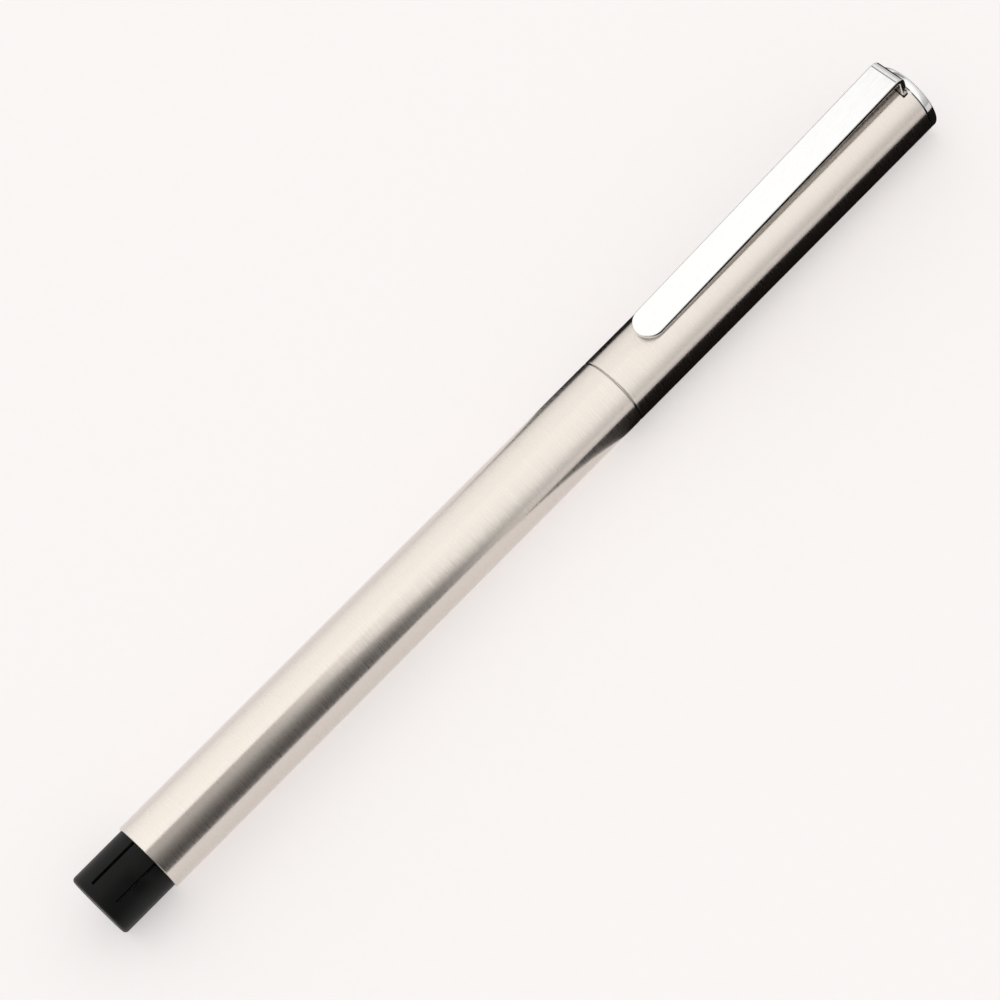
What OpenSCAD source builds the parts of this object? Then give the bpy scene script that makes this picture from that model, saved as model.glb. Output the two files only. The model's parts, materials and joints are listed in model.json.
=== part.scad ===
// Capped rollerball pen, lying on its side with the clip uppermost.
// The pen's axis runs along X, from the tail at -X to the cap's end at +X.
// The origin is under the middle of the pen, on the surface it lies on.
// A station is a distance along the axis, measured from the tail's end face.

/* [Pen] */
// Overall length of the capped pen
pen_length = 138.4; // [134:0.1:144]
// Outer diameter of the barrel and the cap
pen_d = 9.5; // [9.4:0.1:10]
// Open seam between the barrel and the cap
seam_gap = 0.22; // [0.1:0.01:0.3]
// Bevel on the rims of the steel tubes
rim_bevel = 0.08; // [0.04:0.01:0.12]

/* [Barrel] */
// Wall of the barrel tube
barrel_wall = 0.4; // [0.36:0.01:0.44]
// Length of the brass bush in the barrel's mouth
bush_length = 8; // [6:0.5:12]
// Radius of the thread that joins the grip section to the barrel
thread_r = 3.7; // [3.6:0.05:3.75]
// Threaded length that is engaged when the pen is screwed together
thread_engaged = 4.7; // [3:0.1:5.5]

/* [Tail plug] */
// Length of the plug that shows past the barrel
plug_length = 8; // [6:0.1:9]
// Step down from the barrel's surface to the plug's
plug_step = 0.34; // [0.2:0.01:0.35]
// Radius of the plug's rounded end edge
plug_edge = 0.5; // [0.2:0.1:0.8]
// Width of the slots beside each sprung tongue
slot_width = 0.4; // [0.3:0.05:0.6]
// Angle between the two slots of a tongue
tongue_angle = 48; // [30:1:70]
// Turn of the first slot from the clip's side of the pen
slot_turn = -3; // [-20:1:20]

/* [Cap] */
// Length of the cap, from its mouth to the finial's face
cap_length = 52.25; // [50:0.05:54]
// Wall of the cap tube
cap_wall = 0.27; // [0.22:0.01:0.28]
// Thickness of the finial disc
finial_thickness = 1.05; // [0.8:0.05:1.5]
// Depth of bare cap tube behind the mouth, which fits over the tail plug
mouth_depth = 8.6; // [8.2:0.1:9.2]
// Wall of the inner cap
liner_wall = 0.53; // [0.5:0.01:0.55]

/* [Clip] */
// Width of the clip's strip
clip_width = 4.3; // [4:0.1:5]
// Thickness of the clip's strip
clip_thickness = 0.8; // [0.6:0.05:0.9]
// Inner radius of the clip's bend
bend_in = 0.5; // [0.4:0.1:0.8]
// Height of the bend's outer face above the cap
clip_top = 3.1; // [2.9:0.05:3.4]
// Distance from the cap's mouth to the clip's tip
tip_inset = 5.9; // [4:0.1:8]
// Angle at which the clip's arm rises towards the cap's end
clip_rise = 2.7; // [2.2:0.1:2.8]

/* [Grip and refill] */
// Distance from the barrel's mouth to the tip of the ball
nose_reach = 39.3; // [38.8:0.1:39.6]
// Radius of the grip where the fingers hold it
grip_r = 3.85; // [3.8:0.01:3.86]
// Number of grooves round the grip
groove_count = 6; // [0:1:6]
// Length of the refill, from its end plug to the ball
refill_length = 97; // [94:0.5:98]
// Radius of the refill's tube
refill_r = 2.95; // [2.8:0.05:2.95]
// Radius of the writing ball
ball_r = 0.35; // [0.3:0.05:0.35]

/* [Refill spring] */
// Radius of the spring's wire
wire_r = 0.2; // [0.15:0.01:0.22]
// Radius of the coil at the middle of the wire
coil_r = 2.4; // [2.3:0.05:2.5]
// Number of turns
spring_turns = 8; // [6:1:10]

/* [Hidden] */
$fn = 96;

pen_r = pen_d / 2;
run_gap = 0.05;   // running clearance between pieces that move on each other
cut = 1;          // how far a cutting shape reaches past what it cuts

// Barrel stations and radii
barrel_in_r = pen_r - barrel_wall;
barrel_end = pen_length - cap_length - seam_gap;
bush_start = barrel_end - bush_length;
bush_setback = 0.3;

// Tail plug and spring seat
plug_r = pen_r - plug_step;
plug_end_wall = 1.2;
plug_wall = 1.1;
plug_cup_r = plug_r - plug_wall;
plug_inner_end = plug_length + 7.2;
slot_starts = [1.25, 1.7];
slot_run_on = 0.4;   // how far the slots run on inside the barrel
tongue_count = 3;
seat_start = plug_inner_end - 3;
spigot_length = 3;
spigot_r = coil_r - wire_r - 0.3;

// Centre ring, against the barrel's mouth
ring_start = barrel_end + run_gap;
ring_end = ring_start + 1.2;
collar_r = pen_r - cap_wall - 0.06;

// Grip section and nose
grip_start = ring_end + run_gap;
collar_end = grip_start + 6.4;
grip_step = 0.6;
shank_start = barrel_end - thread_engaged;
shank_end = grip_start + 6;
shank_bore_r = refill_r + 0.15;
snap_start = collar_end + 2.8;
snap_width = 1.2;
snap_depth = 0.3;
ball_front = barrel_end + nose_reach;
nose_front = ball_front - 2.5;
nose_start = ball_front - 7;
nose_r = 3.4;
nose_mouth_r = 1.75;
nose_spigot_r = 2.4;
nose_spigot_length = 3.5;
groove_width = 0.6;
groove_depth = 0.15;
groove_pitch = 1.8;
groove_start = nose_start - 15;

// Refill
refill_start = ball_front - refill_length;
refill_wall = 0.4;
refill_in_r = refill_r - refill_wall;
end_flange = 1;
end_spigot = 2.5;
vent_r = 0.4;
shoulder = ball_front - 14;
flange_start = shoulder - 2;
holder_start = flange_start - 3;
holder_r = 1.9;
holder_front = ball_front - 7.4;
socket_r = 1.15;
socket_start = ball_front - 9;
socket_cone = ball_front - 2.1;
wick_r = 0.6;
wick_start = holder_start - 2;
wick_end = ball_front - 3.7;
wick_gap = 0.05;
ball_at = ball_front - ball_r;
ball_gap = 0.015;
rim_at = ball_at + 0.13;
rim_r = ball_r + 0.08;

// Cap
cap_start = barrel_end + seam_gap;
cap_in_r = pen_r - cap_wall;
finial_start = pen_length - finial_thickness;
finial_neck_r = 4.3;
finial_bevel = 0.3;
tube_end = finial_start - 0.15;
liner_start = cap_start + mouth_depth;
liner_end = finial_start - 5.6;
liner_r = cap_in_r - liner_wall;
liner_end_wall = 1;
stud_r = 1.5;
stud_length = 4;

// Clip: the strip's foot is clamped between the bush and the finial
foot_end = finial_start - 0.35;
foot_start = foot_end - clip_thickness;
cap_bush_end = foot_start - run_gap;
neck_start = foot_end + run_gap;
hinge_height = pen_r - 0.95;
foot_gap = 0.04;
notch_gap = 0.1;
notch_bevel = 0.3;
bend_out = bend_in + clip_thickness;
bend_at = foot_end - bend_out;
bend_height = pen_r + clip_top - bend_out;
clip_tip = cap_start + tip_inset;
contact_r = 0.75;
contact_at = clip_tip + 1.3;
contact_gap = 0.07;

// Spring
spring_start = plug_inner_end + run_gap;
spring_length = refill_start - spring_start - run_gap;
wire_sides = 7;
turn_steps = 16;
closed_pitch = 2 * wire_r + 0.03;
open_pitch = (spring_length - 2 * wire_r - 2 * closed_pitch) / (spring_turns - 2);

// ---- shared shapes ----

// Moves to a station on the pen's axis, with +Z turned onto the axis and -X turned to the clip's side
module at(station) translate([station - pen_length / 2, 0, pen_r]) rotate([0, 90, 0]) children();

// A solid of revolution about the pen's axis, from [station, radius] points
module turned(points) at(0) rotate_extrude() polygon([for (p = points) [p[1], p[0]]]);

// A plate seen from the side, from a 2-D outline in station and height above the pen's axis
module side_plate(width) {
    translate([-pen_length / 2, 0, pen_r])
        rotate([90, 0, 0])
            linear_extrude(width, center = true) children();
}

// The outline of a plain ring or rod
function sleeve(from, to, outer, inner) = [[from, inner], [from, outer], [to, outer], [to, inner]];

// The outline of a tube with bevelled rims
function tube(from, to, outer, inner, bevel) = [
    [from, inner],
    [from, outer - bevel],
    [from + bevel, outer],
    [to - bevel, outer],
    [to, outer - bevel],
    [to, inner]
];

// The rounded edge at the start of a rod, from its end face out to its side
function round_edge(from, outer, r) = [
    for (a = [90 : -15 : 0]) [from + r * (1 - sin(a)), outer - r * (1 - cos(a))]
];

// ---- barrel ----

module barrel_tube() {
    color("silver") turned(tube(plug_length, barrel_end, pen_r, barrel_in_r, rim_bevel));
}

module tail_plug() {
    color([0.08, 0.08, 0.08]) difference() {
        turned([
            each round_edge(0, plug_r, plug_edge),
            [plug_length, plug_r],
            [plug_length, barrel_in_r],
            [plug_inner_end, barrel_in_r],
            [plug_inner_end, plug_cup_r],
            [plug_end_wall, plug_cup_r],
            [plug_end_wall, 0],
            [0, 0]
        ]);
        for (tongue = [0 : tongue_count - 1], side = [0, 1]) {
            tongue_slot(slot_turn + tongue * 360 / tongue_count + side * tongue_angle, slot_starts[side]);
        }
    }
}

module tongue_slot(angle, start) {
    at(start) rotate([0, 0, 180 + angle]) translate([0, -slot_width / 2, 0])
        cube([pen_r, slot_width, plug_length + slot_run_on - start]);
}

module spring_seat() {
    color("dimgray") turned([
        [seat_start, 0],
        [seat_start, plug_cup_r],
        [plug_inner_end, plug_cup_r],
        [plug_inner_end, spigot_r],
        [plug_inner_end + spigot_length, spigot_r],
        [plug_inner_end + spigot_length, 0]
    ]);
}

// Height of the wire's middle after a number of turns: the first and last turns are closed
function wire_height(turns) =
    wire_r
    + closed_pitch * min(turns, 1)
    + open_pitch * min(max(turns - 1, 0), spring_turns - 2)
    + closed_pitch * max(turns - spring_turns + 1, 0);

// One point on the wire's skin
function wire_point(step, side) =
    let (
        around = 360 * step / turn_steps,
        about = 360 * side / wire_sides,
        r = coil_r + wire_r * cos(about)
    )
    [r * cos(around), r * sin(around), wire_height(step / turn_steps) + wire_r * sin(about)];

module refill_spring() {
    steps = spring_turns * turn_steps;
    skin = [for (step = [0 : steps], side = [0 : wire_sides - 1]) wire_point(step, side)];
    sides = [
        for (step = [0 : steps - 1], side = [0 : wire_sides - 1])
            let (next = (side + 1) % wire_sides, here = step * wire_sides, on = here + wire_sides)
            [here + side, here + next, on + next, on + side]
    ];
    start_cap = [for (side = [wire_sides - 1 : -1 : 0]) side];
    end_cap = [for (side = [0 : wire_sides - 1]) steps * wire_sides + side];
    color("lightsteelblue") at(spring_start) polyhedron(skin, [each sides, start_cap, end_cap], convexity = 10);
}

module thread_bush() {
    color("goldenrod") turned(
        sleeve(bush_start, barrel_end - bush_setback, barrel_in_r, thread_r + run_gap)
    );
}

// ---- centre ring ----

module centre_ring() {
    color("gainsboro") turned(tube(ring_start, ring_end, collar_r, thread_r + run_gap, rim_bevel));
}

// ---- grip section ----

module grip_section() {
    color([0.1, 0.1, 0.11]) difference() {
        turned([
            [grip_start, thread_r],
            [grip_start, collar_r],
            [collar_end, collar_r],
            [collar_end + grip_step, grip_r],
            [snap_start, grip_r],
            [snap_start, grip_r - snap_depth],
            [snap_start + snap_width, grip_r - snap_depth],
            [snap_start + snap_width, grip_r],
            [groove_start, grip_r],
            [nose_start, nose_r],
            [nose_start, nose_spigot_r],
            [nose_start - nose_spigot_length, nose_spigot_r],
            [nose_start - nose_spigot_length, holder_r + 0.1],
            [shoulder + run_gap, holder_r + 0.1],
            [shoulder + run_gap, shank_bore_r],
            [shank_end, shank_bore_r],
            [shank_end, thread_r]
        ]);
        if (groove_count > 0) {
            for (i = [0 : groove_count - 1]) grip_groove(groove_start + (i + 1) * groove_pitch);
        }
    }
}

module grip_groove(start) {
    taper = (grip_r - nose_r) / (nose_start - groove_start);
    floor_r = grip_r - taper * (start - groove_start) - groove_depth;
    turned(sleeve(start, start + groove_width, pen_r, floor_r));
}

module thread_shank() {
    color("goldenrod") turned(sleeve(shank_start, shank_end, thread_r, shank_bore_r));
}

module snap_ring() {
    inner = grip_r - snap_depth + run_gap;
    color("lightsteelblue") difference() {
        turned(sleeve(snap_start + run_gap, snap_start + snap_width - run_gap, grip_r + 0.08, inner));
        at(snap_start) translate([0, -0.4, -cut]) cube([pen_r, 0.8, snap_width + 2 * cut]);
    }
}

module nose_cone() {
    color("silver") turned([
        [nose_start - nose_spigot_length, holder_r + 0.1],
        [nose_start - nose_spigot_length, nose_spigot_r],
        [nose_start, nose_spigot_r],
        [nose_start, nose_r],
        [nose_start + 0.5, nose_r],
        [nose_front - 0.3, nose_mouth_r],
        [nose_front, nose_mouth_r - 0.2],
        [nose_front, socket_r + 0.15],
        [holder_front, socket_r + 0.15],
        [holder_front, holder_r + 0.1]
    ]);
}

// ---- refill ----

module refill_tube() {
    color("whitesmoke") turned(
        sleeve(refill_start + end_flange, flange_start, refill_r, refill_in_r)
    );
}

module refill_end_plug() {
    color("dimgray") turned([
        [refill_start, vent_r],
        [refill_start, refill_r],
        [refill_start + end_flange, refill_r],
        [refill_start + end_flange, refill_in_r],
        [refill_start + end_flange + end_spigot, refill_in_r],
        [refill_start + end_flange + end_spigot, vent_r]
    ]);
}

module ink_reservoir() {
    color("midnightblue") turned([
        [refill_start + end_flange + end_spigot, 0],
        [refill_start + end_flange + end_spigot, refill_in_r - run_gap],
        [holder_start, refill_in_r - run_gap],
        [holder_start, wick_r + wick_gap],
        [wick_start, wick_r + wick_gap],
        [wick_start, 0]
    ]);
}

module ink_wick() {
    color("navy") turned(sleeve(wick_start, wick_end, wick_r, 0));
}

module tip_holder() {
    color("dimgray") turned([
        [holder_start, wick_r + wick_gap],
        [holder_start, refill_in_r],
        [flange_start, refill_in_r],
        [flange_start, refill_r],
        [shoulder, refill_r],
        [shoulder, holder_r],
        [holder_front - 1, holder_r],
        [holder_front - run_gap, socket_r + 0.2],
        [holder_front - run_gap, socket_r],
        [socket_start, socket_r],
        [socket_start, wick_r + wick_gap]
    ]);
}

module tip_socket() {
    color("silver") difference() {
        turned([
            [socket_start, wick_r + wick_gap],
            [socket_start, socket_r],
            [socket_cone, socket_r],
            [rim_at, rim_r],
            [rim_at, 0],
            [ball_at, 0],
            [ball_at, ball_r / 2],
            [wick_end, ball_r / 2],
            [wick_end, wick_r + wick_gap]
        ]);
        at(ball_at) sphere(ball_r + ball_gap);
    }
}

module writing_ball() {
    color("darkgray") at(ball_at) sphere(ball_r);
}

// ---- cap ----

module cap_tube() {
    color("silver") difference() {
        turned(tube(cap_start, tube_end, pen_r, cap_in_r, rim_bevel));
        clip_notch();
    }
}

// The notch in the cap tube's end that the clip's foot goes through
module clip_notch() {
    half = clip_width / 2 + notch_gap;
    reach = notch_bevel + cut;
    translate([tube_end - pen_length / 2, 0, pen_r]) linear_extrude(pen_r + cut) polygon([
        [foot_start - notch_gap - tube_end, -half],
        [-notch_bevel, -half],
        [cut, -half - reach],
        [cut, half + reach],
        [-notch_bevel, half],
        [foot_start - notch_gap - tube_end, half]
    ]);
}

module inner_cap() {
    lead = 0.25;
    color([0.1, 0.1, 0.1]) turned([
        [liner_start, liner_r + lead],
        [liner_start, cap_in_r],
        [liner_end, cap_in_r],
        [liner_end, 0],
        [liner_end - liner_end_wall, 0],
        [liner_end - liner_end_wall, liner_r],
        [liner_start + lead, liner_r]
    ]);
}

module cap_top_bush() {
    color("goldenrod") turned([
        [liner_end, 0],
        [liner_end, cap_in_r],
        [cap_bush_end, cap_in_r],
        [cap_bush_end, stud_r],
        [neck_start - stud_length, stud_r],
        [neck_start - stud_length, 0]
    ]);
}

module cap_finial() {
    color("gainsboro") turned([
        [neck_start - stud_length + run_gap, 0],
        [neck_start - stud_length + run_gap, stud_r],
        [neck_start, stud_r],
        [neck_start, finial_neck_r],
        [finial_start, finial_neck_r],
        [finial_start, pen_r],
        [pen_length - finial_bevel, pen_r],
        [pen_length, pen_r - finial_bevel],
        [pen_length, 0]
    ]);
}

module clip_foot() {
    top = hinge_height - foot_gap;
    color("gainsboro") at(foot_start) linear_extrude(clip_thickness) difference() {
        union() {
            circle(clip_width / 2);
            translate([-top, -clip_width / 2]) square([top, clip_width]);
        }
        circle(stud_r + run_gap);
    }
}

// ---- clip ----

module clip() {
    color("gainsboro") {
        intersection() {
            side_plate(clip_width) clip_outline();
            clip_plan();
        }
        contact_stud();
    }
}

// The strip seen from the side: a rising arm, a round bend and a leg down to the foot
module clip_outline() {
    reach = 2 * pen_r;
    translate([bend_at, bend_height]) {
        rotate(clip_rise) translate([clip_tip - bend_at - cut, bend_in])
            square([bend_at - clip_tip + cut, clip_thickness]);
        intersection() {
            difference() {
                circle(bend_out);
                circle(bend_in);
            }
            polygon([[0, 0], [reach, 0], [reach, reach], [0, reach], reach * [-sin(clip_rise), cos(clip_rise)]]);
        }
    }
    translate([foot_start, hinge_height]) square([clip_thickness, bend_height - hinge_height]);
}

// The strip seen from above, with its half-round tip
module clip_plan() {
    half = clip_width / 2;
    translate([clip_tip - pen_length / 2, 0, 0]) linear_extrude(2 * pen_d) {
        translate([half, 0]) circle(half);
        translate([half, -half]) square([cap_length, clip_width]);
    }
}

// The small stud under the tip that bears on the cap
module contact_stud() {
    stud_top = pen_r + clip_top - (bend_at - contact_at) * tan(clip_rise) - clip_thickness / 2;
    bottom = pen_r + contact_gap;
    translate([contact_at - pen_length / 2, 0, pen_r]) rotate_extrude() polygon([
        [0, bottom],
        [contact_r - 0.2, bottom],
        [contact_r, bottom + 0.15],
        [contact_r, stud_top],
        [0, stud_top]
    ]);
}

barrel_tube();
tail_plug();
spring_seat();
refill_spring();
thread_bush();
centre_ring();
grip_section();
thread_shank();
snap_ring();
nose_cone();
refill_tube();
refill_end_plug();
ink_reservoir();
ink_wick();
tip_holder();
tip_socket();
writing_ball();
cap_tube();
inner_cap();
cap_top_bush();
cap_finial();
clip_foot();
clip();
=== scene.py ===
import json
import math

import bmesh
import bpy
from mathutils import Matrix, Vector


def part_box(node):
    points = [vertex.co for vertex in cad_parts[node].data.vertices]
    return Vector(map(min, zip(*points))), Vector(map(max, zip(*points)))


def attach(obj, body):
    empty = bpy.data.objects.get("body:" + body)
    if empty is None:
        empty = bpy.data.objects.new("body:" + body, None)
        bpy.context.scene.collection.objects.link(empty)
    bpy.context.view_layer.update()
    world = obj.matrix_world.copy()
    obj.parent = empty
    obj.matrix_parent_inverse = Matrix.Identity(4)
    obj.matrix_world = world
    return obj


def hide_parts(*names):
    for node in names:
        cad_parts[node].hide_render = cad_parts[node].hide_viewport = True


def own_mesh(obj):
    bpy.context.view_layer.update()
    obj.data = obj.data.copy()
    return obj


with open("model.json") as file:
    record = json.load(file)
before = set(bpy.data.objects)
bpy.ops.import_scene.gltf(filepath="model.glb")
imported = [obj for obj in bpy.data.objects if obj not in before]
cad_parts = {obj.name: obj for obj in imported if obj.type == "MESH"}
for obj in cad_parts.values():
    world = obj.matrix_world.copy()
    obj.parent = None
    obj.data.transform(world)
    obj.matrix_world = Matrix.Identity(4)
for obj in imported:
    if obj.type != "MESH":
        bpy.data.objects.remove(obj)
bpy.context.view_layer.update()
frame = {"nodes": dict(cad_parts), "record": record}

MM = 0.001
scene = bpy.context.scene

# ---------------------------------------------------------------- places taken from the CAD

barrel_low, barrel_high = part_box("barrel_tube")
AXIS_Z = (barrel_low.z + barrel_high.z) / 2
PEN_R = (barrel_high.z - barrel_low.z) / 2


# ---------------------------------------------------------------- node helpers

class Tree:
    """Short calls for building one node tree."""

    def __init__(self, tree):
        self.tree = tree
        self.tree.nodes.clear()

    def new(self, kind):
        return self.tree.nodes.new(kind)

    def put(self, socket, value):
        """Links an output to a socket, or sets the socket to a value."""
        if isinstance(value, bpy.types.NodeSocket):
            self.tree.links.new(value, socket)
        else:
            socket.default_value = value

    def put_colour(self, socket, colour):
        """Links an output to a colour socket, or sets the socket to an opaque colour."""
        self.put(socket, colour if isinstance(colour, bpy.types.NodeSocket) else (*colour, 1))

    def maths(self, operation, a, b=0.0):
        node = self.new("ShaderNodeMath")
        node.operation = operation
        self.put(node.inputs[0], a)
        self.put(node.inputs[1], b)
        return node.outputs[0]

    def xyz(self, vector):
        """The three parts of a vector."""
        node = self.new("ShaderNodeSeparateXYZ")
        self.put(node.inputs[0], vector)
        return node.outputs


class Surface(Tree):
    """One material, with a Principled shader."""

    def __init__(self, name):
        self.material = bpy.data.materials.new(name)
        self.material.use_nodes = True
        super().__init__(self.material.node_tree)
        output = self.new("ShaderNodeOutputMaterial")
        self.shader = self.new("ShaderNodeBsdfPrincipled")
        self.put(output.inputs[0], self.shader.outputs[0])
        self.place = self.new("ShaderNodeTexCoord").outputs["Object"]

    def set(self, **values):
        """Sets or links the shader's own sockets: Base_Color=..., Roughness=..."""
        for name, value in values.items():
            socket = self.shader.inputs[name.replace("_", " ")]
            if name.endswith("Color"):
                self.put_colour(socket, value)
            else:
                self.put(socket, value)

    def noise(self, along, across=None, detail=2.0, roughness=0.5):
        """Noise over the place in metres, times a scale along the pen and one across it."""
        across = across or along
        mapping = self.new("ShaderNodeMapping")
        mapping.inputs["Scale"].default_value = (along, across, across)
        self.put(mapping.inputs["Vector"], self.place)
        node = self.new("ShaderNodeTexNoise")
        self.put(node.inputs["Vector"], mapping.outputs[0])
        node.inputs["Scale"].default_value = 1.0
        node.inputs["Detail"].default_value = detail
        node.inputs["Roughness"].default_value = roughness
        return node.outputs[0]

    def spread(self, value, low, high, start, end):
        """Maps a value from start..end to low..high, and clamps it."""
        node = self.new("ShaderNodeMapRange")
        self.put(node.inputs["Value"], value)
        node.inputs["From Min"].default_value = start
        node.inputs["From Max"].default_value = end
        node.inputs["To Min"].default_value = low
        node.inputs["To Max"].default_value = high
        return node.outputs[0]

    def blend(self, value, start, end, first, second):
        """Goes from the first colour to the second as a value goes from start to end."""
        node = self.new("ShaderNodeMix")
        node.data_type = "RGBA"
        self.put(node.inputs[0], self.spread(value, 0, 1, start, end))
        self.put_colour(node.inputs[6], first)
        self.put_colour(node.inputs[7], second)
        return node.outputs[2]

    def bump(self, height, strength, distance):
        node = self.new("ShaderNodeBump")
        node.inputs["Strength"].default_value = strength
        node.inputs["Distance"].default_value = distance
        self.put(node.inputs["Height"], height)
        return node.outputs[0]

    def round_tangent(self):
        """The direction round the pen's axis."""
        node = self.new("ShaderNodeTangent")
        node.direction_type = "RADIAL"
        node.axis = "X"
        return node.outputs[0]


# ---------------------------------------------------------------- materials

def brushed_tube():
    """Stainless tube, brushed round its circumference, so its lines are thin along X."""
    n = Surface("brushed_tube")
    lines = n.noise(14000, 420, detail=3.0, roughness=0.7)
    bands = n.noise(2200, 110)
    tone = n.maths("ADD", n.maths("MULTIPLY", lines, 0.75), n.maths("MULTIPLY", bands, 0.25))
    n.set(
        Base_Color=n.blend(tone, 0.3, 0.7, (0.685, 0.638, 0.588), (0.777, 0.725, 0.674)),
        Metallic=1.0,
        Roughness=n.spread(tone, 0.24, 0.37, 0.35, 0.65),
        Anisotropic=1.0,
        Tangent=n.round_tangent(),
        Anisotropic_Rotation=0.25,
        Normal=n.bump(lines, 0.2, 0.004 * MM),
    )
    return n.material


NOTCH_SHADE_EDGE = 0.1 * MM      # half the width over which the painted shade in the notch fades in
# Colour of the painted shade where the clip goes down into the cap's notch
NOTCH_SHADE_COLOUR = (0.06, 0.055, 0.05)


def polished_steel(name="polished_steel", shade_radius=None):
    """Bright polished steel with the finest of wear, and with painted shade where it's nearer the
    axis than a given radius.
    """
    n = Surface(name)
    haze = n.noise(1800, detail=3.0)
    wipe = n.noise(500, 6000)
    steel = n.blend(haze, 0.35, 0.65, (0.66, 0.665, 0.67), (0.68, 0.685, 0.685))
    if shade_radius is not None:
        # Painted shade: the steel turns dark where it is nearer the axis than the given radius
        _, side, height = n.xyz(n.place)
        rise = n.maths("SUBTRACT", height, AXIS_Z)
        squares = n.maths("ADD", n.maths("POWER", side, 2.0), n.maths("POWER", rise, 2.0))
        radius = n.maths("SQRT", squares)
        steel = n.blend(radius, shade_radius - NOTCH_SHADE_EDGE, shade_radius + NOTCH_SHADE_EDGE, NOTCH_SHADE_COLOUR, steel)
    n.set(
        Base_Color=steel,
        Metallic=1.0,
        Roughness=n.spread(n.maths("ADD", haze, wipe), 0.08, 0.14, 0.8, 1.2),
        Normal=n.bump(wipe, 0.04, 0.004 * MM),
    )
    return n.material


def moulded(name, dark, light, rough, specular=0.4):
    """Moulded plastic with a fine satin grain and slight unevenness."""
    n = Surface(name)
    fine = n.noise(5200, detail=3.0, roughness=0.6)
    wide = n.noise(260)
    n.set(
        Base_Color=n.blend(wide, 0.35, 0.65, dark, light),
        Roughness=n.spread(n.maths("ADD", fine, wide), rough - 0.06, rough + 0.06, 0.75, 1.25),
        Specular_IOR_Level=specular,
        Normal=n.bump(fine, 0.2, 0.01 * MM),
    )
    return n.material


def turned_brass():
    """Brass with turning lines round its axis, slightly dulled."""
    n = Surface("turned_brass")
    lines = n.noise(11000, 200)
    dull = n.noise(400, detail=3.0)
    n.set(
        Base_Color=n.blend(dull, 0.35, 0.65, (0.70, 0.48, 0.20), (0.83, 0.62, 0.30)),
        Metallic=1.0,
        Roughness=n.spread(n.maths("ADD", lines, dull), 0.22, 0.38, 0.8, 1.2),
        Anisotropic=0.6,
        Tangent=n.round_tangent(),
        Anisotropic_Rotation=0.25,
        Normal=n.bump(lines, 0.3, 0.01 * MM),
    )
    return n.material


def spring_wire():
    """Drawn steel wire."""
    n = Surface("spring_wire")
    drawn = n.noise(3000, detail=3.0)
    n.set(
        Base_Color=n.blend(drawn, 0.3, 0.7, (0.50, 0.50, 0.52), (0.66, 0.66, 0.68)),
        Metallic=1.0,
        Roughness=n.spread(drawn, 0.2, 0.34, 0.35, 0.65),
        Normal=n.bump(drawn, 0.15, 0.008 * MM),
    )
    return n.material


def refill_body():
    """Translucent white refill tube."""
    n = Surface("refill_body")
    flow = n.noise(60, 900)
    fine = n.noise(2500)
    n.set(
        Base_Color=n.blend(flow, 0.35, 0.65, (0.76, 0.78, 0.80), (0.86, 0.87, 0.88)),
        Roughness=n.spread(fine, 0.22, 0.32, 0.35, 0.65),
        Subsurface_Weight=0.25,
        Subsurface_Scale=0.6 * MM,
        Normal=n.bump(fine, 0.06, 0.01 * MM),
    )
    return n.material


def ink_fibre():
    """Bundled fibre soaked in blue-black ink, with its strands along X."""
    n = Surface("ink_fibre")
    strands = n.noise(300, 9000, detail=3.0, roughness=0.6)
    soak = n.noise(200, 500)
    both = n.maths("ADD", strands, soak)
    n.set(
        Base_Color=n.blend(both, 0.8, 1.2, (0.008, 0.010, 0.03), (0.03, 0.035, 0.08)),
        Roughness=n.spread(strands, 0.55, 0.8, 0.35, 0.65),
        Normal=n.bump(strands, 0.6, 0.04 * MM),
    )
    return n.material


def tip_metal():
    """Turned nickel silver of the tip."""
    n = Surface("tip_metal")
    lines = n.noise(16000, 300)
    n.set(
        Base_Color=n.blend(lines, 0.35, 0.65, (0.66, 0.64, 0.58), (0.78, 0.76, 0.70)),
        Metallic=1.0,
        Roughness=n.spread(lines, 0.18, 0.3, 0.35, 0.65),
        Normal=n.bump(lines, 0.2, 0.006 * MM),
    )
    return n.material


def ball_metal():
    """Ground tungsten carbide, with a trace of ink."""
    n = Surface("ball_metal")
    trace = n.noise(5000)
    n.set(
        Base_Color=n.blend(trace, 0.45, 0.7, (0.36, 0.36, 0.38), (0.10, 0.11, 0.18)),
        Metallic=1.0,
        Roughness=n.spread(trace, 0.12, 0.25, 0.35, 0.65),
    )
    return n.material


MATERIALS = {
    "brushed_tube": brushed_tube(),
    "polished_steel": polished_steel(),
    "black_moulding": moulded(
        "black_moulding", (0.006, 0.006, 0.006), (0.011, 0.011, 0.011), 0.45, specular=0.12),
    "grey_moulding": moulded("grey_moulding", (0.16, 0.16, 0.16), (0.22, 0.22, 0.22), 0.5),
    "grip_moulding": moulded(
        "grip_moulding", (0.018, 0.018, 0.020), (0.032, 0.032, 0.034), 0.55),
    "turned_brass": turned_brass(),
    "spring_wire": spring_wire(),
    "refill_body": refill_body(),
    "refill_fitting": moulded(
        "refill_fitting", (0.045, 0.045, 0.055), (0.075, 0.075, 0.085), 0.32),
    "ink_fibre": ink_fibre(),
    "tip_metal": tip_metal(),
    "ball_metal": ball_metal(),
}

# The clip and its foot, with shade painted dark on them where they go down into the cap's notch
CLIP_STEEL_SHADED = polished_steel("clip_steel_painted_shade", PEN_R + 0.2 * MM)

for subpart in frame["record"]["subparts"]:
    node = frame["nodes"][subpart["node"]]
    node.data.materials.clear()
    in_notch = subpart["node"] in ("clip", "clip_foot")
    node.data.materials.append(CLIP_STEEL_SHADED if in_notch else MATERIALS[subpart["material_slot"]])


# ---------------------------------------------------------------- mesh helpers

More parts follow.
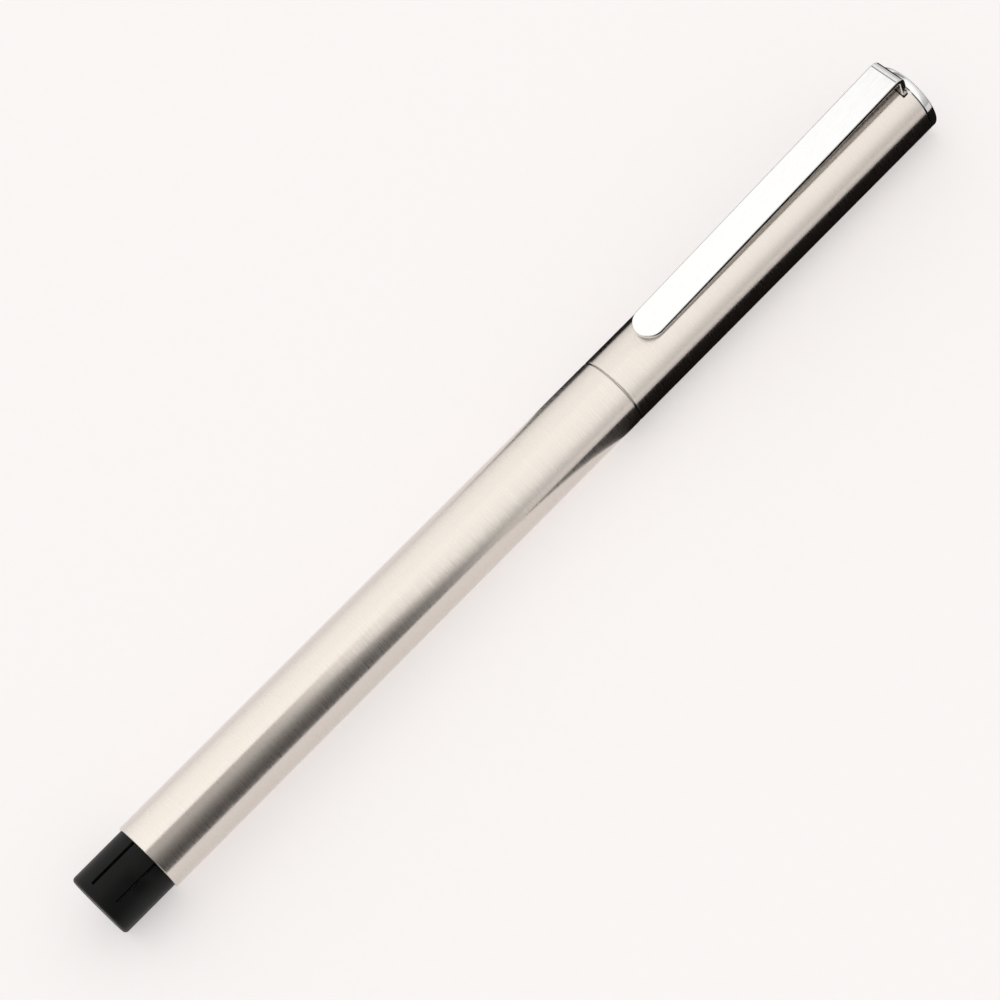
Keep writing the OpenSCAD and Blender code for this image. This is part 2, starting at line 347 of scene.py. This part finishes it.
def piece(name, mesh, body, slot, replaced, material=None):
    """Links a new mesh in place of a CAD node, with the slot's material unless another is given."""
    made = bpy.data.objects.new(name, mesh)
    scene.collection.objects.link(made)
    mesh.materials.append(material or MATERIALS[slot])
    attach(made, body)
    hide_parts(replaced)
    return made


def smooth_mesh(name, bm, sharp):
    """Turns a bmesh into a mesh, smooth except at edges of more than an angle in degrees."""
    bmesh.ops.recalc_face_normals(bm, faces=bm.faces)
    mesh = bpy.data.meshes.new(name)
    bm.to_mesh(mesh)
    bm.free()
    mesh.shade_smooth()
    mesh.set_sharp_from_angle(angle=math.radians(sharp))
    return mesh


def ring(bm, x, radii):
    """Vertices round the pen's axis, one for each radius, from the top towards +Y."""
    verts = []
    for i, r in enumerate(radii):
        a = 2 * math.pi * i / len(radii)
        verts.append(bm.verts.new((x, r * math.sin(a), AXIS_Z + r * math.cos(a))))
    return verts


def skin(bm, a, b):
    """Faces between two rings, where one of them may be a single vertex on the axis."""
    count = max(len(a), len(b))
    for i in range(count):
        j = (i + 1) % count
        if len(a) == 1:
            bm.faces.new((a[0], b[i], b[j]))
        elif len(b) == 1:
            bm.faces.new((a[i], b[0], a[j]))
        else:
            bm.faces.new((a[i], b[i], b[j], a[j]))


# ---------------------------------------------------------------- clip

STRIP = 0.8 * MM          # thickness of the strip
BEND_IN = 0.5 * MM        # inner radius of its bend
BEND_OUT = BEND_IN + STRIP
BEND_MID = BEND_IN + STRIP / 2
RISE = math.radians(2.7)  # slope of the arm
TIP_INSET = 0.02 * MM     # keeps the sloping tip inside the CAD's box
EDGE = 0.16 * MM          # rounding of the strip's upper edges
UNDER = 0.24 * MM         # rounding of its lower edges
STUD_AT = 1.3 * MM        # middle of the stud, from the tip
STUD_R = 0.75 * MM
STUD_GAP = 0.07 * MM      # clearance between the stud and the cap
ARM_STEPS = 12
BEND_STEPS = 12
TIP_STEPS = 14
EDGE_STEPS = 4


def clip_strip():
    """The clip's strip: a half-round tip, a straight arm, a bend and the leg into the cap."""
    low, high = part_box("clip")
    half = (high.y - low.y) / 2
    # In X and Z: the bend's centre, the arm's two directions, and where the arm meets the bend
    bend = Vector((high.x - BEND_OUT, high.z - BEND_OUT))
    outward = Vector((-math.sin(RISE), math.cos(RISE)))
    along = Vector((math.cos(RISE), math.sin(RISE)))
    arm_end = bend + outward * BEND_MID
    # Lengths along the strip's middle
    arm = (arm_end.x - low.x - TIP_INSET) / along.x
    turn = math.pi / 2 + RISE
    bent = arm + turn * BEND_MID

    def section(s):
        """Middle of the strip in X and Z at a distance from the tip, and its outward normal."""
        if s <= arm:
            return arm_end - along * (arm - s), outward
        if s <= bent:
            angle = turn - (s - arm) / BEND_MID
            normal = Vector((math.cos(angle), math.sin(angle)))
            return bend + normal * BEND_MID, normal
        return Vector((bend.x + BEND_MID, bend.y - (s - bent))), Vector((1, 0))

    straight = [half + (arm - half) * i / ARM_STEPS for i in range(1, ARM_STEPS + 1)]
    straight += [arm + turn * BEND_MID * i / BEND_STEPS for i in range(1, BEND_STEPS + 1)]
    straight.append(bent + bend.y - low.z)
    # Levels through the thickness: height over the middle, and how far the outline is drawn in
    quarter = [math.pi / 2 * i / EDGE_STEPS for i in range(EDGE_STEPS + 1)]
    levels = [
        (STRIP / 2 - EDGE + EDGE * math.sin(a), EDGE - EDGE * math.cos(a))
        for a in reversed(quarter)
    ]
    levels += [
        (UNDER - STRIP / 2 - UNDER * math.sin(a), UNDER - UNDER * math.cos(a)) for a in quarter
    ]
    tip_turns = [math.pi / 2 * i / TIP_STEPS for i in range(TIP_STEPS + 1)]

    bm = bmesh.new()
    outlines = []
    for height, inset in levels:
        r = half - inset
        stations = [(half - r * math.cos(a), r * math.sin(a)) for a in tip_turns]
        stations += [(s, r) for s in straight]
        sides = ([], [])
        for s, y in stations:
            centre, normal = section(s)
            place = centre + normal * height
            if not sides[0]:
                tip = bm.verts.new((place.x, 0, place.y))
                sides[0].append(tip)
                sides[1].append(tip)
                continue
            for side, sign in zip(sides, (-1, 1)):
                side.append(bm.verts.new((place.x, sign * y, place.y)))
        outlines.append(sides)
    count = len(stations)
    for upper, lower in zip(outlines, outlines[1:]):
        for a, b in zip(upper, lower):
            for k in range(count - 1):
                bm.faces.new((a[k], a[k + 1], b[k + 1], b[k]))
    for left, right in (outlines[0], outlines[-1]):
        bm.faces.new((left[0], left[1], right[1]))
        for k in range(1, count - 1):
            bm.faces.new((left[k], left[k + 1], right[k + 1], right[k]))
    leg_end = [left[-1] for left, right in outlines]
    leg_end += [right[-1] for left, right in reversed(outlines)]
    bm.faces.new(leg_end)

    # The stud under the tip, which bears on the cap
    stud_x = low.x + STUD_AT
    stud_low = AXIS_Z + PEN_R + STUD_GAP
    stud_high = arm_end.y - (arm_end.x - stud_x) * math.tan(RISE)
    bmesh.ops.create_cone(
        bm, cap_ends=True, segments=48, radius1=STUD_R, radius2=STUD_R,
        depth=stud_high - stud_low,
        matrix=Matrix.Translation((stud_x, 0, (stud_low + stud_high) / 2)),
    )
    mesh = smooth_mesh("clip_strip", bm, sharp=50)
    made = piece("clip_strip", mesh, "clip", "polished_steel", "clip", CLIP_STEEL_SHADED)
    made.modifiers.new("normals", "WEIGHTED_NORMAL").keep_sharp = True


clip_strip()


# ---------------------------------------------------------------- finial

FINIAL_SEAM = 0.15 * MM   # between the cap tube's end and the disc
SPIGOT_R = 1.5 * MM       # the spigot that screws into the cap's bush
NECK_R = 4.3 * MM         # the neck inside the seam
NECK = 0.3 * MM
FINIAL_EDGE = 0.06 * MM   # rounding of the disc's edge at the seam
RIM = 0.2 * MM            # rounding of its outer rim
DOME = 0.03 * MM          # height of its face's middle over the rim
FINIAL_SEGMENTS = 160
DOME_STEPS = 8


def arc(x, r, radius, start, end, steps):
    """Points on a rounded edge in (x, radius), angles in degrees from +X towards the outside."""
    points = []
    for i in range(steps + 1):
        a = math.radians(start + (end - start) * i / steps)
        points.append((x + radius * math.cos(a), r + radius * math.sin(a)))
    return points


def finial_disc():
    """The cap's end disc, with a rounded rim and a faintly domed face."""
    low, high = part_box("cap_finial")
    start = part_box("cap_tube")[1].x + FINIAL_SEAM
    outline = [
        (low.x, SPIGOT_R),
        (start - NECK, SPIGOT_R),
        (start - NECK, NECK_R),
        (start, NECK_R),
        *arc(start + FINIAL_EDGE, PEN_R - FINIAL_EDGE, FINIAL_EDGE, 180, 90, 3),
        *arc(high.x - DOME - RIM, PEN_R - RIM, RIM, 90, 8, 9),
    ]
    edge_x, edge_r = outline[-1]
    for i in range(1, DOME_STEPS):
        r = edge_r * (1 - i / DOME_STEPS)
        outline.append((edge_x + (high.x - edge_x) * (1 - (r / edge_r) ** 2), r))
    bm = bmesh.new()
    rings = [[bm.verts.new((low.x, 0, AXIS_Z))]]
    rings += [ring(bm, x, [r] * FINIAL_SEGMENTS) for x, r in outline]
    rings.append([bm.verts.new((high.x, 0, AXIS_Z))])
    for a, b in zip(rings, rings[1:]):
        skin(bm, a, b)
    mesh = smooth_mesh("finial_disc", bm, sharp=28)
    piece("finial_disc", mesh, "cap", "polished_steel", "cap_finial")


finial_disc()


# ---------------------------------------------------------------- spring

WIRE_R = 0.2 * MM
CLOSED_PITCH = 2 * WIRE_R + 0.03 * MM  # pitch of the closed turn at each end
TURNS = 8                 # with the two closed ones
TURN_STEPS = 48


def smooth_spring():
    """The refill spring as a round wire, with its first and last turns closed."""
    low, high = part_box("refill_spring")
    coil = (high.y - low.y) / 2 - WIRE_R
    length = high.x - low.x
    pitch = (length - 2 * WIRE_R - 2 * CLOSED_PITCH) / (TURNS - 2)
    curve = bpy.data.curves.new("spring_coil", "CURVE")
    curve.dimensions = "3D"
    curve.bevel_depth = WIRE_R
    curve.bevel_resolution = 4
    curve.use_fill_caps = True
    spline = curve.splines.new("POLY")
    spline.points.add(TURNS * TURN_STEPS)
    for i, point in enumerate(spline.points):
        t = i / TURN_STEPS
        first, last = min(t, 1), max(t - TURNS + 1, 0)
        open_turns = min(max(t - 1, 0), TURNS - 2)
        x = low.x + WIRE_R + CLOSED_PITCH * (first + last) + pitch * open_turns
        a = 2 * math.pi * t
        point.co = (x, coil * math.sin(a), AXIS_Z - coil * math.cos(a), 1)
    temporary = bpy.data.objects.new("spring_coil_curve", curve)
    scene.collection.objects.link(temporary)
    bpy.context.view_layer.update()
    evaluated = temporary.evaluated_get(bpy.context.evaluated_depsgraph_get())
    mesh = bpy.data.meshes.new_from_object(evaluated)
    mesh.name = "spring_coil"
    bpy.data.objects.remove(temporary)
    mesh.materials.clear()
    mesh.shade_smooth()
    made = piece("spring_coil", mesh, "barrel", "spring_wire", "refill_spring")
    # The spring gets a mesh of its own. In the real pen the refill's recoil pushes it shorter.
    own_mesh(made)


smooth_spring()


# ---------------------------------------------------------------- threaded shank

CREST_DEPTH = 1.03 * MM   # crest and root of the thread, below the tube's surface
ROOT_DEPTH = 1.45 * MM
SHANK_BORE_R = 3.1 * MM
THREAD_PITCH = 0.75 * MM
THREAD_AROUND = 72        # points round the shank
THREAD_ROWS = 8           # rows to one pitch
FLANK = 2.6               # steepness of the thread's flanks
CREST_CUT = 1.25          # cuts the crest flat


def threaded_shank():
    """The brass shank with a real helical thread, hollow for the refill."""
    low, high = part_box("thread_shank")
    crest, root = PEN_R - CREST_DEPTH, PEN_R - ROOT_DEPTH
    rows = int((high.x - low.x) / THREAD_PITCH * THREAD_ROWS)
    bm = bmesh.new()
    rings = []
    for k in range(rows + 1):
        x = low.x + (high.x - low.x) * k / rows
        fade = min(1, (x - low.x) / THREAD_PITCH, (high.x - x) / THREAD_PITCH)
        radii = []
        for i in range(THREAD_AROUND):
            phase = ((x - low.x) / THREAD_PITCH - i / THREAD_AROUND) % 1
            height = max(0.0, 1 - abs(phase - 0.5) * FLANK)
            radii.append(root + (crest - root) * min(height * CREST_CUT, 1) * fade)
        rings.append(ring(bm, x, radii))
    for x in (high.x, low.x):
        rings.append(ring(bm, x, [SHANK_BORE_R] * THREAD_AROUND))
    for a, b in zip(rings, rings[1:] + rings[:1]):
        skin(bm, a, b)
    mesh = smooth_mesh("shank_thread", bm, sharp=35)
    piece("shank_thread", mesh, "grip", "turned_brass", "thread_shank")


threaded_shank()


# ---------------------------------------------------------------- stage: floor and reflections

FLOOR = 3.0               # half the floor's side
DARK_Z = 0.3 * MM         # height of the black surface over the floor
# The black surface in two flat pieces, which leave the floor under the pen free
DARK_RIGHT = [(0.0165, -0.001), (-0.001, -0.022), (0.117, -0.022), (0.117, -0.001)]
DARK_LEFT = [(0.0105, 0.001), (0.117, 0.001), (0.117, 0.10), (0.008, 0.10)]
FLAG_R = 0.032            # radius of the dark flag round the pen's axis
FLAG_START = -0.3
# Angle from straight up, brightness, and where along the pen the flag ends
FLAG = [
    (14, 0.56, -0.033), (30, 0.53, -0.031), (42, 0.37, -0.026), (53, 0.235, -0.018),
    (65, 0.14, -0.014), (77, 0.075, -0.010), (98, 0.06, -0.004),
]


def stage_material(name, colour, rough, glow=0.0):
    """A plain surface with a faint mottle and no highlights of its own."""
    n = Surface(name)
    darker = tuple(c * 0.985 for c in colour)
    n.set(
        Base_Color=n.blend(n.noise(900), 0.3, 0.7, colour, darker),
        Roughness=rough,
        Emission_Color=colour,
        Emission_Strength=glow,
        Specular_IOR_Level=0.0,
    )
    return n.material


def staged(name, mesh, material):
    """Puts a mesh on the stage."""
    mesh.materials.append(material)
    made = bpy.data.objects.new(name, mesh)
    scene.collection.objects.link(made)
    return made


def flat(name, corners, material):
    """One flat face of the stage."""
    mesh = bpy.data.meshes.new(name)
    mesh.from_pydata(corners, [], [tuple(range(len(corners)))])
    return staged(name, mesh, material)


def dark_flag():
    """A dark curved flag on the tail's side, with a shade for each angle."""
    material = bpy.data.materials.new("flag_shade")
    material.use_nodes = True
    n = Tree(material.node_tree)
    emission = n.new("ShaderNodeEmission")
    emission.inputs["Color"].default_value = (1.0, 0.95, 0.92, 1)
    n.put(emission.inputs["Strength"], n.xyz(n.new("ShaderNodeUVMap").outputs[0])[0])
    n.put(n.new("ShaderNodeOutputMaterial").inputs[0], emission.outputs[0])
    bm = bmesh.new()
    layer = bm.loops.layers.uv.new("shade")
    shades = {}
    rows = []
    for degrees, shade, end in FLAG:
        a = math.radians(degrees)
        y, z = -FLAG_R * math.sin(a), AXIS_Z + FLAG_R * math.cos(a)
        row = [bm.verts.new((x, y, z)) for x in (FLAG_START, end)]
        rows.append(row)
        for vert in row:
            shades[vert] = shade
    for a, b in zip(rows, rows[1:]):
        face = bm.faces.new((a[0], a[1], b[1], b[0]))
        for loop in face.loops:
            loop[layer].uv = (shades[loop.vert], 0)
    mesh = bpy.data.meshes.new("dark_flag")
    bm.to_mesh(mesh)
    bm.free()
    return staged("dark_flag", mesh, material)


def only_reflected(made):
    """Leaves a stage piece to be seen only in reflections."""
    made.visible_camera = False
    made.visible_diffuse = False
    made.visible_shadow = False
    made.visible_transmission = False


flat(
    "floor", [(-FLOOR, -FLOOR, 0), (FLOOR, -FLOOR, 0), (FLOOR, FLOOR, 0), (-FLOOR, FLOOR, 0)],
    stage_material("pale_floor", (0.845, 0.822, 0.818), 0.6, glow=0.5),
)
# The reflections of what stood round the pen: a darker side towards the camera by the tail,
# and a black surface under the cap's half
only_reflected(dark_flag())
dark_surface = stage_material("dark_surface", (0.019, 0.017, 0.016), 0.8)
for name, corners in (("dark_right", DARK_RIGHT), ("dark_left", DARK_LEFT)):
    only_reflected(flat(name, [(x, y, DARK_Z) for x, y in corners], dark_surface))


# ---------------------------------------------------------------- light

# The room as (place, brightness) stops. Round the pen's axis, 0 is level on the far side,
# 0.5 is straight up, and 1 is level on the camera's side.
SKY_AROUND = [
    (0.0, 1.25), (0.08, 1.32), (0.2, 1.45), (0.68, 1.5),
    (0.75, 1.5), (0.83, 1.45), (0.9, 1.25), (1.0, 1.08),
]
# Along the pen, 0 is straight up and 1 is level towards the cap's end. The far side, over the
# clip, has a gap between two lights.
SKY_PLAIN = [(0.0, 1.0), (0.18, 1.0), (0.3, 0.68), (0.8, 0.55), (1.0, 0.4)]
SKY_GAPPED = [
    (0.0, 1.04), (0.20, 1.04), (0.225, 0.28), (0.35, 0.28), (0.38, 0.88), (0.8, 0.7), (1.0, 0.45),
]
FAR_SIDE = [(0.0, 1.0), (0.39, 1.0), (0.46, 0.0), (1.0, 0.0)]
EVEN_LIGHT = 0.61
WINDOW = Vector((-0.1, 0.9, 1.1))

world = bpy.data.worlds.new("soft_room")
scene.world = world
world.use_nodes = True
room = Tree(world.node_tree)


def background(colour, strength):
    """One background of the room."""
    node = room.new("ShaderNodeBackground")
    room.put_colour(node.inputs["Color"], colour)
    room.put(node.inputs["Strength"], strength)
    return node.outputs[0]


def ramp(value, stops):
    """Brightness by stops. It's halved in the ramp and doubled after it, as ramps end at 1."""
    node = room.new("ShaderNodeValToRGB")
    room.put(node.inputs[0], value)
    elements = node.color_ramp.elements
    while len(elements) < len(stops):
        elements.new(0.5)
    for element, (place, bright) in zip(elements, stops):
        element.position = place
        element.color = (bright / 2, bright / 2, bright / 2, 1)
    return room.maths("MULTIPLY", node.outputs[0], 2)


dx, dy, dz = room.xyz(room.new("ShaderNodeTexCoord").outputs["Generated"])
round_angle = room.maths("ARCTAN2", room.maths("MULTIPLY", dy, -1), dz)
around = room.maths("ADD", room.maths("DIVIDE", round_angle, math.pi), 0.5)
forward = room.maths("DIVIDE", room.maths("ARCTAN2", dx, dz), math.pi / 2)
plain = ramp(forward, SKY_PLAIN)
gap = room.maths("SUBTRACT", ramp(forward, SKY_GAPPED), plain)
sky_forward = room.maths("ADD", plain, room.maths("MULTIPLY", gap, ramp(around, FAR_SIDE)))
sky = room.maths("MULTIPLY", ramp(around, SKY_AROUND), sky_forward)

# Even white light, and the shaded sky for what the metal reflects
choose = room.new("ShaderNodeMixShader")
room.put(choose.inputs[0], room.new("ShaderNodeLightPath").outputs["Is Glossy Ray"])
room.put(choose.inputs[1], background((1.0, 0.985, 0.97), EVEN_LIGHT))
room.put(choose.inputs[2], background((1.0, 0.985, 0.965), sky))
room.put(room.new("ShaderNodeOutputWorld").inputs[0], choose.outputs[0])

window_light = bpy.data.lights.new("window", "AREA")
window_light.shape = "RECTANGLE"
window_light.size, window_light.size_y = 1.6, 1.2
window_light.energy = 1.0
window_light.color = (1, 0.985, 0.965)
window = bpy.data.objects.new("window", window_light)
scene.collection.objects.link(window)
window.location = WINDOW
window.rotation_mode = "QUATERNION"
window.rotation_quaternion = (-WINDOW).to_track_quat("-Z", "Y")
window.visible_glossy = False


# ---------------------------------------------------------------- camera

BACK = Vector((-0.1786, -0.4948, 0.8505)).normalized()  # from the pen to the camera
DISTANCE = 0.4369
AIM = Vector((-0.00191, 0.00029, 0.00492))
AIM_ALONG = -0.22 * MM    # shift of the aim along the pen in the picture, and across it
AIM_ACROSS = 0.07 * MM
IMAGE_ANGLE = math.radians(45.055)  # how the pen lies in the picture
SENSOR = 36
LENS = 132.55

pen_axis = (Vector((1, 0, 0)) - BACK.x * BACK).normalized()
across = BACK.cross(pen_axis)
right = pen_axis * math.cos(IMAGE_ANGLE) - across * math.sin(IMAGE_ANGLE)
up = pen_axis * math.sin(IMAGE_ANGLE) + across * math.cos(IMAGE_ANGLE)
camera_data = bpy.data.cameras.new("camera")
camera_data.sensor_width = SENSOR
camera_data.lens = LENS
camera_data.clip_start = 0.01
camera_data.clip_end = 20
camera = bpy.data.objects.new("camera", camera_data)
scene.collection.objects.link(camera)
stand = AIM + pen_axis * AIM_ALONG + across * AIM_ACROSS + BACK * DISTANCE
turned = Matrix((right, up, BACK)).transposed().to_4x4()
camera.matrix_world = Matrix.Translation(stand) @ turned
scene.camera = camera

scene.view_settings.view_transform = "Standard"
